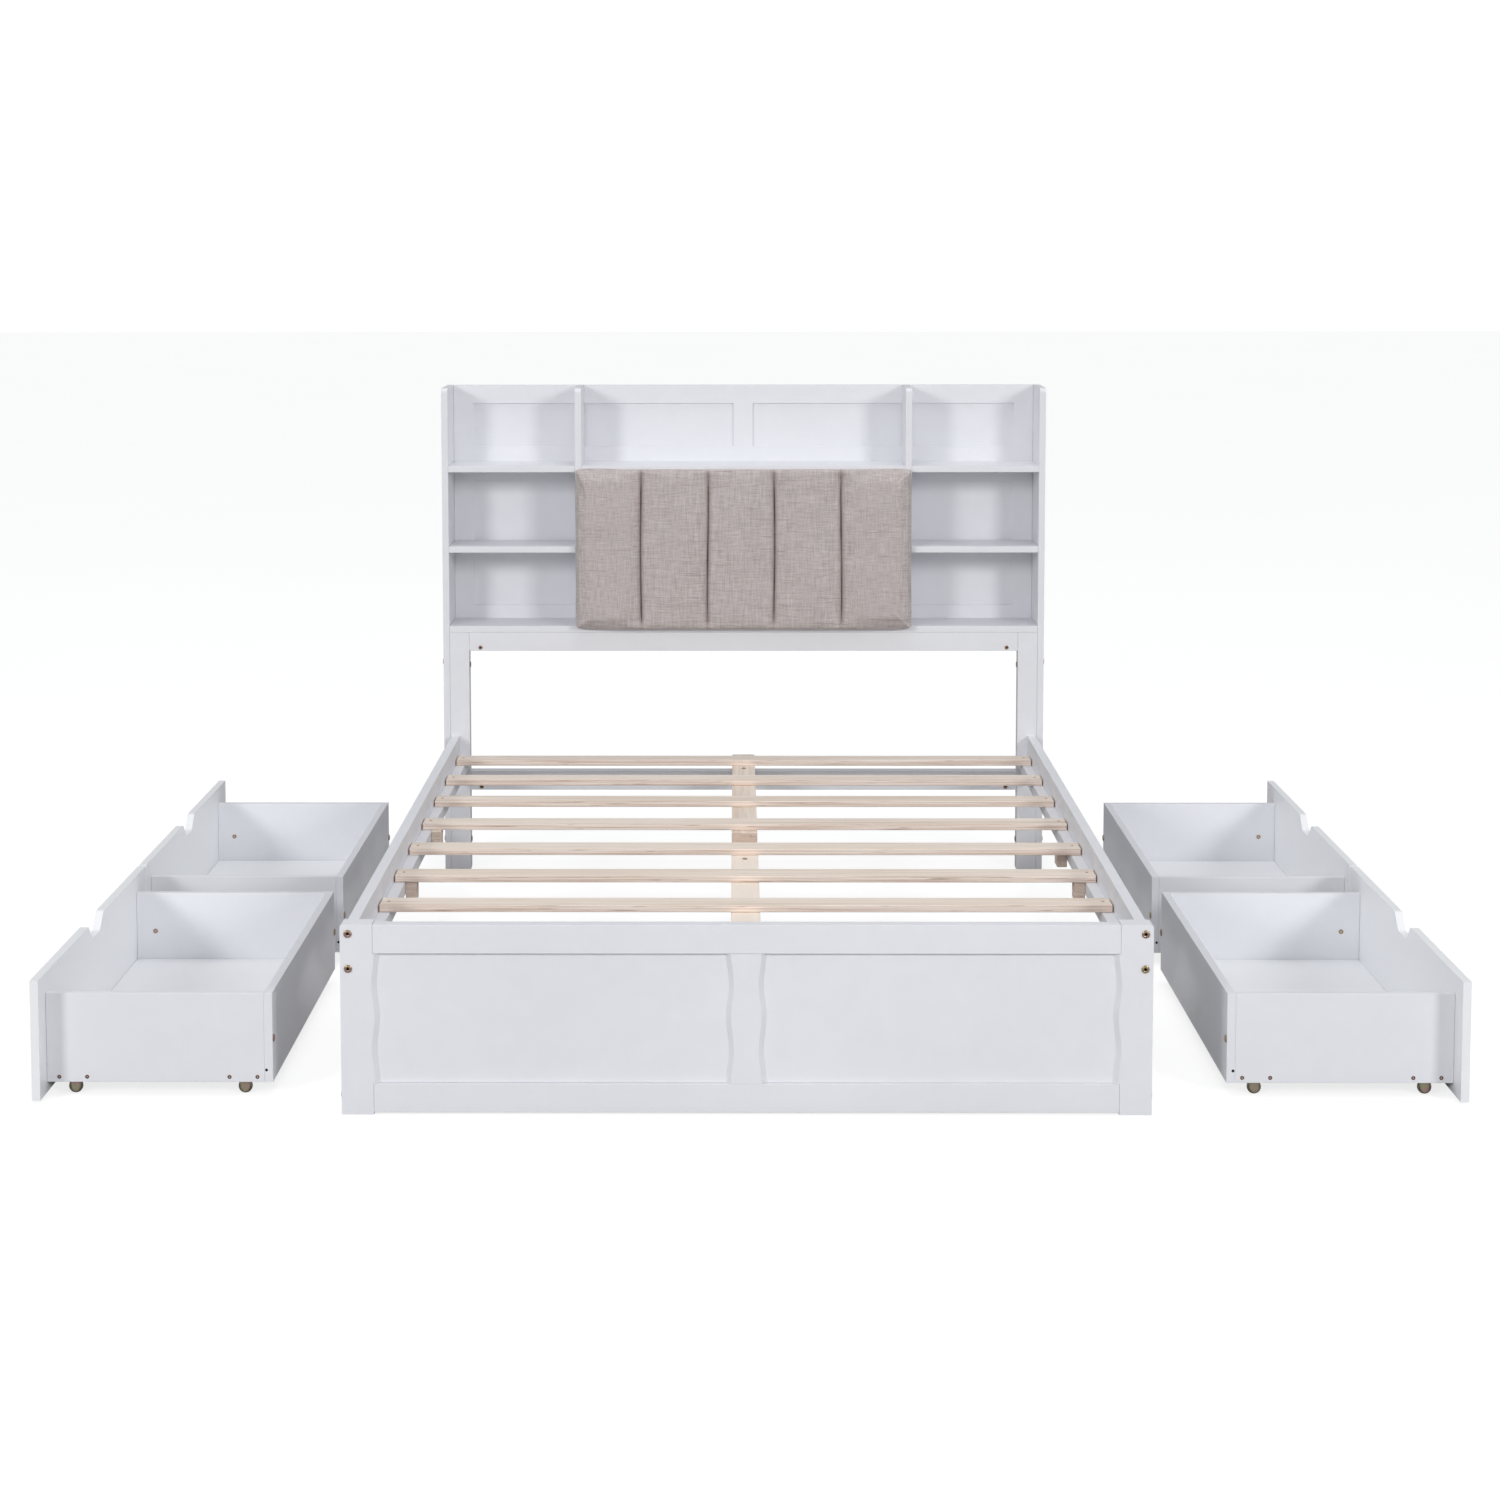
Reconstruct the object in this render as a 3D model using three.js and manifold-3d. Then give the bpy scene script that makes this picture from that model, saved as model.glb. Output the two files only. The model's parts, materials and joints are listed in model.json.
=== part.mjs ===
// Platform bed for a 54 x 75 inch (1372 x 1905 mm) mattress: bookcase headboard with an upholstered
// pad, panelled footboard, slatted base, and four storage drawers that roll out on castors.
//
// Units are millimetres, +Z is up, +Y points at the headboard and +X is to the right when the bed is
// seen from its foot end; left and right in the names are those of that view. Every Y below is
// measured from the footboard's front face; the last lines move the whole bed so that the origin
// lies on the floor in the middle of its length.
import * as THREE from 'three';
import { mergeVertices } from 'three/addons/utils/BufferGeometryUtils.js';
import Module from 'manifold-3d';

const wasm = await Module();
wasm.setup();

// ---------------------------------------------------------------- driving dimensions
const FIT = 0.3; // clearance left between two pieces that touch

// headboard
const HEAD_HALF_WIDTH = 724;
const HEAD_HEIGHT = 1169;
const HEAD_FRONT = 1950; // front edges of the bookcase
const HEAD_BACK = 2114; // rear face of the back panel
const BOARD = 15; // thickness of panels, dividers and drawer boards
const BACK_THICKNESS = 14;
const SHELF_TOP_Z = 982; // upper surfaces of the three shelf levels
const SHELF_MID_Z = 788;
const SHELF_BOTTOM_Z = 595;
const DIVIDER_OUTER = 404; // dividers' outer faces, from the centre line
const SHELF_SLOT_DEPTH = 75; // half-lap where a divider crosses the top shelf
const HEAD_POST_WIDTH = 47;
const HEAD_POST_DEPTH = 35;
const APRON_HEIGHT = 45;
const APRON_DEPTH = 20;
const HEAD_RAIL_Z = [195, 241];
const CORNER_RADIUS = 12; // front top corners of the bookcase's uprights

// frame of the back panel
const BACK_STILE = 47;
const BACK_TOP_RAIL_Z = 1124;
const BACK_MIDDLE_RAIL_Z = [931, 1018];
const BACK_BOTTOM_RAIL_Z = 627;
const BACK_RECESS_FRONT = 6;
const BACK_RECESS_REAR = 3;

// pad
const PAD_HALF_WIDTH = 403.5;
const PAD_THICKNESS = 40;
const PAD_Z = [589, 976];

// footboard
const FOOT_HALF_WIDTH = 708.5;
const FOOT_HEIGHT = 339;
const FOOT_POST_WIDTH = 56.5;
const FOOT_POST_DEPTH = 38;
const FOOT_RAIL_DEPTH = 28;
const FOOT_TOP_RAIL_Z = [287, 337.5];
const FOOT_BOTTOM_RAIL_Z = [4, 55];
const FOOT_PANEL_YS = [9, 19];
const FOOT_CORNER_RADIUS = 6;
const STILE_HALF_WIDTH = 24; // flat front of the centre stile
const MOULDING_WIDTH = 8.5; // sloping wavy edge beside the recessed panels
const WAVE_HEIGHT = 2.5;
const WAVE_LENGTH = 115;
const WAVE_CREST_Z = 173;
const WAVE_STEP = 7.2;

// side rails and slatted base
const RAIL_INNER = 686; // half of the mattress width
const RAIL_THICKNESS = 20;
const RAIL_Z = [227, 327];
const SLAT_BOTTOM_Z = 276;
const SLAT_THICKNESS = 13.5;
const SLAT_WIDTH = 62;
const SLAT_HALF_LENGTH = 683.5;
const SLAT_COUNT = 7;
const SLAT_FIRST_Y = 352;
const SLAT_PITCH = 246.5;
const LEDGER_WIDTH = 22;
const LEDGER_THICKNESS = 26;
const BLOCK_SIZE = [21, 44, 40];
const BLOCK_Y = { left: [608, 1080], right: [608, 915] };
const BEAM_HALF_WIDTH = 27;
const BEAM_FRONT_Y = [FOOT_RAIL_DEPTH + FIT, 890];
const BEAM_REAR_Y = [1064, HEAD_FRONT + HEAD_POST_DEPTH];
const LEG_TOP_Y = [797, 1157];
const LEG_TOP_THICKNESS = 20;
const LEG_HALF_WIDTH = 22;

// drawers
const DRAWER_OUTER = { left: 1266, right: 1277 }; // front faces, from the centre line
const FRONT_LENGTH = 926;
const FRONT_Z = [6, 223];
const ROW_START = { foot: 57, head: 995.5 }; // foot-side end of each row's front boards
const BOX_INSET = { foot: 52, head: 43 }; // from there to the box
const BOX_LENGTH = 794;
const BOX_DEPTH = 405;
const BOX_Z = [25, 187.5];
const BOTTOM_Z = [44, 50];
const NOTCH_TOP_WIDTH = 130;
const NOTCH_BOTTOM_WIDTH = 63;
const NOTCH_DEPTH = 31;
const NOTCH_ROUNDING = 7;

// castors
const WHEEL_RADIUS = 12.5;
const WHEEL_WIDTH = 9;
const WHEEL_BORE = 2.6;
const WHEEL_TREAD_ROUNDING = 1.5;
const AXLE_RADIUS = 2.2;
const CHEEK_THICKNESS = 1.5;
const CHEEK_RADIUS = 9.4;
const CHEEK_HALF_TOP = 14;
const CASTOR_CLEARANCE = 0.6; // between the wheel and each cheek
const CASTOR_TOP_Z = 30;
const CASTOR_PLATE = { halfLength: 31, thickness: 1.5, z: [CASTOR_TOP_Z - 1.5, 42] };
const CASTOR_SETBACK = { outer: 62, inner: 367 }; // wheel centres behind the drawer's front face

// ---------------------------------------------------------------- materials
const material = (color, roughness, metalness = 0) =>
  new THREE.MeshStandardMaterial({ color, roughness, metalness });
const paint = () => material('#dedfe4', 0.45);
const linen = () => material('#b2a8a5', 0.9);
const pine = () => material('#dccdbf', 0.6);
const bronze = () => material('#4d3f38', 0.4, 0.6);

// ---------------------------------------------------------------- geometry helpers
const bed = new THREE.Group();

function add(name, geometry, finish) {
  const mesh = new THREE.Mesh(geometry, finish);
  mesh.name = name;
  bed.add(mesh);
}

// Axis-aligned board between two opposite corners, given per axis in either order.
function board(xs, ys, zs) {
  const geometry = new THREE.BoxGeometry(...[xs, ys, zs].map(([a, b]) => Math.abs(b - a)));
  return geometry.translate(...[xs, ys, zs].map(([a, b]) => (a + b) / 2));
}

// An outline drawn in Y and Z, given a thickness along X.
function extrudeAlongX(shape, [from, to]) {
  const options = { depth: to - from, bevelEnabled: false, curveSegments: 5 };
  const turn = new THREE.Matrix4().makeBasis(
    new THREE.Vector3(0, 1, 0), new THREE.Vector3(0, 0, 1), new THREE.Vector3(1, 0, 0));
  return new THREE.ExtrudeGeometry(shape, options).applyMatrix4(turn).translate(from, 0, 0);
}

// An outline drawn in X and Z, given a thickness along Y.
function extrudeAlongY(shape, [from, to]) {
  const options = { depth: to - from, bevelEnabled: false, curveSegments: 5 };
  const turn = new THREE.Matrix4().makeBasis(
    new THREE.Vector3(1, 0, 0), new THREE.Vector3(0, 0, 1), new THREE.Vector3(0, -1, 0));
  return new THREE.ExtrudeGeometry(shape, options).applyMatrix4(turn).translate(0, to, 0);
}

function polygon(points) {
  return new THREE.Shape(points.map(([u, v]) => new THREE.Vector2(u, v)));
}

function toSolid(geometry) {
  const bare = geometry.clone();
  bare.deleteAttribute('normal');
  bare.deleteAttribute('uv');
  const merged = mergeVertices(bare, 1e-4);
  return new wasm.Manifold(new wasm.Mesh({
    numProp: 3,
    vertProperties: new Float32Array(merged.attributes.position.array),
    triVerts: new Uint32Array(merged.index.array),
  }));
}

function toGeometry(solid) {
  const mesh = solid.getMesh();
  const geometry = new THREE.BufferGeometry();
  geometry.setAttribute('position', new THREE.BufferAttribute(mesh.vertProperties, 3));
  geometry.setIndex(new THREE.BufferAttribute(mesh.triVerts, 1));
  geometry.computeVertexNormals();
  return geometry;
}

function join(first, ...others) {
  return toGeometry(others.reduce((solid, geometry) => solid.add(toSolid(geometry)), toSolid(first)));
}

function cut(first, ...others) {
  return toGeometry(others.reduce((solid, geometry) => solid.subtract(toSolid(geometry)), toSolid(first)));
}

// A solid skinned over outlines in X and Z, each at its own Y. They all run anticlockwise, seen from
// the foot end, and have the same number of points.
function loft(outlines, ys) {
  const count = outlines[0].length;
  const positions = outlines.flatMap((outline, k) => outline.flatMap(([x, z]) => [x, ys[k], z]));
  const faces = [];
  for (let k = 0; k < outlines.length - 1; k += 1) {
    for (let i = 0; i < count; i += 1) {
      const j = (i + 1) % count;
      const [a, b, c, d] = [k * count + i, k * count + j, (k + 1) * count + j, (k + 1) * count + i];
      faces.push(a, c, b, a, d, c);
    }
  }
  const cap = (outline) =>
    THREE.ShapeUtils.triangulateShape(outline.map(([x, z]) => new THREE.Vector2(x, z)), []);
  const last = (outlines.length - 1) * count;
  cap(outlines[0]).forEach(([a, b, c]) => faces.push(a, b, c));
  cap(outlines.at(-1)).forEach(([a, b, c]) => faces.push(last + a, last + c, last + b));
  const geometry = new THREE.BufferGeometry();
  geometry.setAttribute('position', new THREE.Float32BufferAttribute(positions, 3));
  geometry.setIndex(faces);
  return geometry;
}

// ---------------------------------------------------------------- headboard
const sides = [['left', -1], ['right', 1]];
const INNER_WIDTH = HEAD_HALF_WIDTH - BOARD; // bookcase, inside its side panels
const BACK_FRONT = HEAD_BACK - BACK_THICKNESS;

// Upright board seen from the side, with its front top corner rounded and an optional rear slot.
function uprightOutline(back, bottom, slot = []) {
  const shape = new THREE.Shape();
  shape.moveTo(back, bottom);
  slot.forEach(([y, z]) => shape.lineTo(y, z));
  shape.lineTo(back, HEAD_HEIGHT);
  shape.lineTo(HEAD_FRONT + CORNER_RADIUS, HEAD_HEIGHT);
  shape.absarc(
    HEAD_FRONT + CORNER_RADIUS, HEAD_HEIGHT - CORNER_RADIUS, CORNER_RADIUS, Math.PI / 2, Math.PI, false);
  shape.lineTo(HEAD_FRONT, bottom);
  return shape;
}

for (const [side, sign] of sides) {
  const panelXs = sign < 0 ? [-HEAD_HALF_WIDTH, -INNER_WIDTH] : [INNER_WIDTH, HEAD_HALF_WIDTH];
  add(`side_panel_${side}`, extrudeAlongX(uprightOutline(HEAD_BACK, 0), panelXs), paint());

  const postOuter = INNER_WIDTH - FIT;
  const postXs = [sign * postOuter, sign * (postOuter - HEAD_POST_WIDTH)];
  const postYs = [HEAD_FRONT, HEAD_FRONT + HEAD_POST_DEPTH];
  add(`head_post_${side}`, board(postXs, postYs, [0, SHELF_BOTTOM_Z - BOARD - FIT]), paint());

  const dividerXs = sign < 0
    ? [-DIVIDER_OUTER, -DIVIDER_OUTER + BOARD]
    : [DIVIDER_OUTER - BOARD, DIVIDER_OUTER];
  const dividerBack = BACK_FRONT - FIT;
  const slotFront = HEAD_FRONT + SHELF_SLOT_DEPTH - FIT;
  const slotZ = [SHELF_TOP_Z - BOARD - FIT, SHELF_TOP_Z + FIT];
  const slot = [
    [dividerBack, slotZ[0]], [slotFront, slotZ[0]], [slotFront, slotZ[1]], [dividerBack, slotZ[1]]];
  const dividerOutline = uprightOutline(dividerBack, SHELF_BOTTOM_Z + FIT, slot);
  add(`divider_${side}`, extrudeAlongX(dividerOutline, dividerXs), paint());

  const shelfXs = [sign * (DIVIDER_OUTER + FIT), sign * (INNER_WIDTH - FIT)];
  const shelfYs = [HEAD_FRONT, BACK_FRONT - FIT];
  add(`shelf_mid_${side}`, board(shelfXs, shelfYs, [SHELF_MID_Z - BOARD, SHELF_MID_Z]), paint());
}

// Top shelf seen from above, with a front slot for each divider.
function topShelfGeometry() {
  const end = INNER_WIDTH - FIT;
  const slotEnd = HEAD_FRONT + SHELF_SLOT_DEPTH;
  const slotOuter = DIVIDER_OUTER + FIT;
  const slotInner = DIVIDER_OUTER - BOARD - FIT;
  const shape = polygon([
    [-end, HEAD_FRONT], [-slotOuter, HEAD_FRONT], [-slotOuter, slotEnd],
    [-slotInner, slotEnd], [-slotInner, HEAD_FRONT], [slotInner, HEAD_FRONT],
    [slotInner, slotEnd], [slotOuter, slotEnd], [slotOuter, HEAD_FRONT],
    [end, HEAD_FRONT], [end, BACK_FRONT - FIT], [-end, BACK_FRONT - FIT],
  ]);
  const geometry = new THREE.ExtrudeGeometry(shape, { depth: BOARD, bevelEnabled: false });
  return geometry.translate(0, 0, SHELF_TOP_Z - BOARD);
}
add('shelf_top', topShelfGeometry(), paint());

const bottomShelfXs = [-(INNER_WIDTH - FIT), INNER_WIDTH - FIT];
const bottomShelfZs = [SHELF_BOTTOM_Z - BOARD, SHELF_BOTTOM_Z];
add('shelf_bottom', board(bottomShelfXs, [HEAD_FRONT, BACK_FRONT - FIT], bottomShelfZs), paint());

// Frame-and-panel back: one board with four fields sunk into each face.
function backPanelGeometry() {
  const outer = INNER_WIDTH - FIT;
  const bottom = SHELF_BOTTOM_Z - BOARD;
  const blank = board([-outer, outer], [BACK_FRONT, HEAD_BACK], [bottom, HEAD_HEIGHT]);
  const fieldsZ = [
    [BACK_BOTTOM_RAIL_Z, BACK_MIDDLE_RAIL_Z[0]], [BACK_MIDDLE_RAIL_Z[1], BACK_TOP_RAIL_Z]];
  const pockets = sides.flatMap(([, sign]) => fieldsZ.flatMap((zs) => {
    const xs = [(sign * BACK_STILE) / 2, sign * (outer - BACK_STILE)];
    return [
      board(xs, [BACK_FRONT - 1, BACK_FRONT + BACK_RECESS_FRONT], zs),
      board(xs, [HEAD_BACK - BACK_RECESS_REAR, HEAD_BACK + 1], zs),
    ];
  }));
  return cut(blank, ...pockets);
}
add('back_panel', backPanelGeometry(), paint());

const betweenPosts = INNER_WIDTH - FIT - HEAD_POST_WIDTH - FIT;
const apronTop = SHELF_BOTTOM_Z - BOARD - FIT;
const apronYs = [HEAD_FRONT, HEAD_FRONT + APRON_DEPTH];
add('apron', board([-betweenPosts, betweenPosts], apronYs, [apronTop - APRON_HEIGHT, apronTop]), paint());
const headRailYs = [HEAD_FRONT, HEAD_FRONT + HEAD_POST_DEPTH];
add('head_rail', board([-betweenPosts, betweenPosts], headRailYs, HEAD_RAIL_Z), paint());

const padYs = [HEAD_FRONT - PAD_THICKNESS, HEAD_FRONT - FIT];
add('headboard_pad', board([-PAD_HALF_WIDTH, PAD_HALF_WIDTH], padYs, PAD_Z), linen());

// ---------------------------------------------------------------- footboard
const wave = (z) => WAVE_HEIGHT * Math.cos((2 * Math.PI * (z - WAVE_CREST_Z)) / WAVE_LENGTH);
const fieldZ = [FOOT_BOTTOM_RAIL_Z[1] + FIT, FOOT_TOP_RAIL_Z[0] - FIT]; // between the two rails
const waveSteps = Math.round((fieldZ[1] - fieldZ[0]) / WAVE_STEP);
const waveZs = Array.from({ length: waveSteps + 1 }, (_, i) =>
  fieldZ[0] + ((fieldZ[1] - fieldZ[0]) * i) / waveSteps);
const mouldingYs = [0, FOOT_PANEL_YS[0] - FIT];

function footPostGeometry(sign) {
  const inner = FOOT_HALF_WIDTH - FOOT_POST_WIDTH;
  const root = inner + 2 * WAVE_HEIGHT; // where the moulding grows out of the post
  const shape = new THREE.Shape();
  shape.moveTo(sign * inner, 0);
  shape.lineTo(sign * FOOT_HALF_WIDTH, 0);
  shape.lineTo(sign * FOOT_HALF_WIDTH, FOOT_HEIGHT - FOOT_CORNER_RADIUS);
  shape.absarc(
    sign * (FOOT_HALF_WIDTH - FOOT_CORNER_RADIUS), FOOT_HEIGHT - FOOT_CORNER_RADIUS,
    FOOT_CORNER_RADIUS, sign > 0 ? 0 : Math.PI, Math.PI / 2, sign < 0);
  shape.lineTo(sign * inner, FOOT_HEIGHT);
  const post = extrudeAlongY(shape, [0, FOOT_POST_DEPTH]);
  const room = board([sign * (inner - 1), sign * root], [-1, mouldingYs[1]], fieldZ);

  const edge = (reach) => {
    const wavy = waveZs.map((z) => [sign * (inner - reach - wave(z)), z]);
    const straight = [[sign * (root + 1), fieldZ[1]], [sign * (root + 1), fieldZ[0]]];
    return sign < 0 ? [...wavy, ...straight] : [...wavy, ...straight].reverse();
  };
  const moulding = loft([edge(0), edge(MOULDING_WIDTH)], mouldingYs);
  return toGeometry(toSolid(post).subtract(toSolid(room)).add(toSolid(moulding)));
}
for (const [side, sign] of sides) add(`foot_post_${side}`, footPostGeometry(sign), paint());

function stileGeometry() {
  const outline = (half) => [
    ...waveZs.map((z) => [half + wave(z), z]),
    ...waveZs.map((z) => [-half - wave(z), z]).reverse(),
  ];
  const flat = STILE_HALF_WIDTH;
  const wide = STILE_HALF_WIDTH + MOULDING_WIDTH;
  return loft([outline(flat), outline(wide)], mouldingYs);
}
add('foot_stile', stileGeometry(), paint());

const footRailHalf = FOOT_HALF_WIDTH - FOOT_POST_WIDTH - FIT;
const footRailXs = [-footRailHalf, footRailHalf];
add('foot_rail_top', board(footRailXs, [0, FOOT_RAIL_DEPTH], FOOT_TOP_RAIL_Z), paint());
add('foot_rail_bottom', board(footRailXs, [0, FOOT_RAIL_DEPTH], FOOT_BOTTOM_RAIL_Z), paint());
add('foot_panel', board(footRailXs, FOOT_PANEL_YS, fieldZ), paint());

// ---------------------------------------------------------------- side rails and slatted base
const LEDGER_TOP_Z = SLAT_BOTTOM_Z - FIT;

// Rail with its slat ledger glued on, plus the two small blocks under the slat ends.
function sideRailGeometry(side, sign) {
  const ledgerInner = RAIL_INNER - LEDGER_WIDTH;
  const section = [
    [RAIL_INNER, RAIL_Z[0]], [RAIL_INNER + RAIL_THICKNESS, RAIL_Z[0]],
    [RAIL_INNER + RAIL_THICKNESS, RAIL_Z[1]], [RAIL_INNER, RAIL_Z[1]],
    [RAIL_INNER, LEDGER_TOP_Z], [ledgerInner, LEDGER_TOP_Z],
    [ledgerInner, LEDGER_TOP_Z - LEDGER_THICKNESS], [RAIL_INNER, LEDGER_TOP_Z - LEDGER_THICKNESS],
  ].map(([x, z]) => [sign * x, z]);
  const rail = extrudeAlongY(polygon(section), [FOOT_POST_DEPTH + FIT, HEAD_FRONT - FIT]);
  const [blockWidth, blockLength, blockHeight] = BLOCK_SIZE;
  const blocks = BLOCK_Y[side].map((y) => board(
    [sign * (ledgerInner - blockWidth), sign * (ledgerInner + 1)],
    [y, y + blockLength],
    [LEDGER_TOP_Z - blockHeight, LEDGER_TOP_Z]));
  return join(rail, ...blocks);
}
for (const [side, sign] of sides) add(`side_rail_${side}`, sideRailGeometry(side, sign), paint());

const slatZs = [SLAT_BOTTOM_Z, SLAT_BOTTOM_Z + SLAT_THICKNESS];
for (let i = 0; i < SLAT_COUNT; i += 1) {
  const y = SLAT_FIRST_Y + i * SLAT_PITCH;
  add(`slat_${i + 1}`, board([-SLAT_HALF_LENGTH, SLAT_HALF_LENGTH], [y, y + SLAT_WIDTH], slatZs), pine());
}

const beamXs = [-BEAM_HALF_WIDTH, BEAM_HALF_WIDTH];
const beamZs = [HEAD_RAIL_Z[1] + FIT, LEDGER_TOP_Z];
add('centre_beam_front', board(beamXs, BEAM_FRONT_Y, beamZs), pine());
add('centre_beam_rear', board(beamXs, BEAM_REAR_Y, beamZs), pine());

// T-shaped leg: a plate under the beam ends that face each other, on one post.
function centreLegGeometry() {
  const plateTop = beamZs[0] - FIT;
  const plate = board(beamXs, LEG_TOP_Y, [plateTop - LEG_TOP_THICKNESS, plateTop]);
  const middle = (LEG_TOP_Y[0] + LEG_TOP_Y[1]) / 2;
  const post = board(
    [-LEG_HALF_WIDTH, LEG_HALF_WIDTH], [middle - LEG_HALF_WIDTH, middle + LEG_HALF_WIDTH], [0, plateTop - 1]);
  return join(plate, post);
}
add('centre_leg', centreLegGeometry(), pine());

// ---------------------------------------------------------------- drawers
// Front board seen from the side of the bed, with a finger notch in its top edge.
function drawerFrontShape(start) {
  const [bottom, top] = FRONT_Z;
  const middle = start + FRONT_LENGTH / 2;
  const wide = NOTCH_TOP_WIDTH / 2;
  const narrow = NOTCH_BOTTOM_WIDTH / 2;
  const floor = top - NOTCH_DEPTH;
  const slope = new THREE.Vector2(wide - narrow, NOTCH_DEPTH).setLength(NOTCH_ROUNDING);
  const shape = new THREE.Shape();
  shape.moveTo(start, bottom);
  shape.lineTo(start + FRONT_LENGTH, bottom);
  shape.lineTo(start + FRONT_LENGTH, top);
  shape.lineTo(middle + wide + NOTCH_ROUNDING, top);
  shape.quadraticCurveTo(middle + wide, top, middle + wide - slope.x, top - slope.y);
  shape.lineTo(middle + narrow + slope.x, floor + slope.y);
  shape.quadraticCurveTo(middle + narrow, floor, middle + narrow - NOTCH_ROUNDING, floor);
  shape.lineTo(middle - narrow + NOTCH_ROUNDING, floor);
  shape.quadraticCurveTo(middle - narrow, floor, middle - narrow - slope.x, floor + slope.y);
  shape.lineTo(middle - wide + slope.x, top - slope.y);
  shape.quadraticCurveTo(middle - wide, top, middle - wide - NOTCH_ROUNDING, top);
  shape.lineTo(start, top);
  return shape;
}

// Fork cheek in X and Z: wide at the top plate, round about the axle.
function cheekShape(x) {
  const shape = new THREE.Shape();
  shape.moveTo(x - CHEEK_HALF_TOP, CASTOR_TOP_Z);
  shape.lineTo(x - CHEEK_RADIUS, WHEEL_RADIUS);
  shape.absarc(x, WHEEL_RADIUS, CHEEK_RADIUS, Math.PI, 2 * Math.PI, false);
  shape.lineTo(x + CHEEK_HALF_TOP, CASTOR_TOP_Z);
  return shape;
}

// Fixed castor fork screwed to the inside of a drawer side at y = face; inward is +1 or -1 along Y.
function castorFork(x, face, inward) {
  const across = (from, to) => [face + inward * from, face + inward * to].sort((a, b) => a - b);
  const depth = 2 * (CHEEK_THICKNESS + CASTOR_CLEARANCE) + WHEEL_WIDTH;
  const plate = CASTOR_PLATE;
  const axle = new THREE.CylinderGeometry(AXLE_RADIUS, AXLE_RADIUS, depth - CHEEK_THICKNESS, 10);
  axle.translate(x, face + (inward * depth) / 2, WHEEL_RADIUS);
  return [
    board([x - plate.halfLength, x + plate.halfLength], across(-0.5, plate.thickness), plate.z),
    board([x - CHEEK_HALF_TOP, x + CHEEK_HALF_TOP], across(-0.5, depth), [CASTOR_TOP_Z - 1.5, CASTOR_TOP_Z]),
    extrudeAlongY(cheekShape(x), across(0, CHEEK_THICKNESS)),
    extrudeAlongY(cheekShape(x), across(depth - CHEEK_THICKNESS, depth)),
    axle,
  ];
}

// Wheel turned about its own Y axis, with its bore open.
function wheelGeometry() {
  const half = WHEEL_WIDTH / 2;
  const tread = WHEEL_RADIUS - WHEEL_TREAD_ROUNDING;
  const profile = [
    [WHEEL_BORE, -half], [tread, -half], [WHEEL_RADIUS, -half + WHEEL_TREAD_ROUNDING],
    [WHEEL_RADIUS, half - WHEEL_TREAD_ROUNDING], [tread, half], [WHEEL_BORE, half], [WHEEL_BORE, -half],
  ];
  return new THREE.LatheGeometry(profile.map(([r, y]) => new THREE.Vector2(r, y)), 20);
}

const WHEEL_INSET = CHEEK_THICKNESS + CASTOR_CLEARANCE + WHEEL_WIDTH / 2;

function addDrawer(side, sign, row) {
  const name = `drawer_${side}_${row}`;
  const front = DRAWER_OUTER[side];
  const frontInner = front - BOARD;
  const boxFront = frontInner - FIT;
  const boxBack = frontInner - BOX_DEPTH;
  const backInner = boxBack + BOARD;
  const start = ROW_START[row];
  const boxYs = [start + BOX_INSET[row], start + BOX_INSET[row] + BOX_LENGTH];

  const frontXs = sign < 0 ? [-front, -frontInner] : [frontInner, front];
  add(`${name}_front`, extrudeAlongX(drawerFrontShape(start), frontXs), paint());

  const sideXs = [sign * (backInner - 1), sign * boxFront];
  const walls = [
    board([sign * boxBack, sign * backInner], boxYs, BOX_Z),
    board(sideXs, [boxYs[0], boxYs[0] + BOARD], BOX_Z),
    board(sideXs, [boxYs[1] - BOARD, boxYs[1]], BOX_Z),
  ];
  const castors = [['foot_side', boxYs[0] + BOARD, 1], ['head_side', boxYs[1] - BOARD, -1]];
  const forks = castors.flatMap(([, face, inward]) => Object.values(CASTOR_SETBACK).flatMap((setback) =>
    castorFork(sign * (front - setback), face, inward)));
  add(`${name}_box`, join(...walls, ...forks), paint());

  const bottomXs = [sign * (backInner + FIT), sign * (frontInner - FIT)];
  const bottomYs = [boxYs[0] + BOARD + FIT, boxYs[1] - BOARD - FIT];
  add(`${name}_bottom`, board(bottomXs, bottomYs, BOTTOM_Z), paint());

  for (const [end, face, inward] of castors) {
    for (const [place, setback] of Object.entries(CASTOR_SETBACK)) {
      const wheel = wheelGeometry().translate(
        sign * (front - setback), face + inward * WHEEL_INSET, WHEEL_RADIUS);
      add(`${name}_wheel_${place}_${end}`, wheel, bronze());
    }
  }
}
for (const [side, sign] of sides) {
  for (const row of ['foot', 'head']) addDrawer(side, sign, row);
}

bed.position.y = -HEAD_BACK / 2;
const part = new THREE.Group();
part.add(bed);

export default part;
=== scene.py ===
import json
import math

import bmesh
import bpy
import numpy as np
from mathutils import Matrix, Vector

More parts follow.
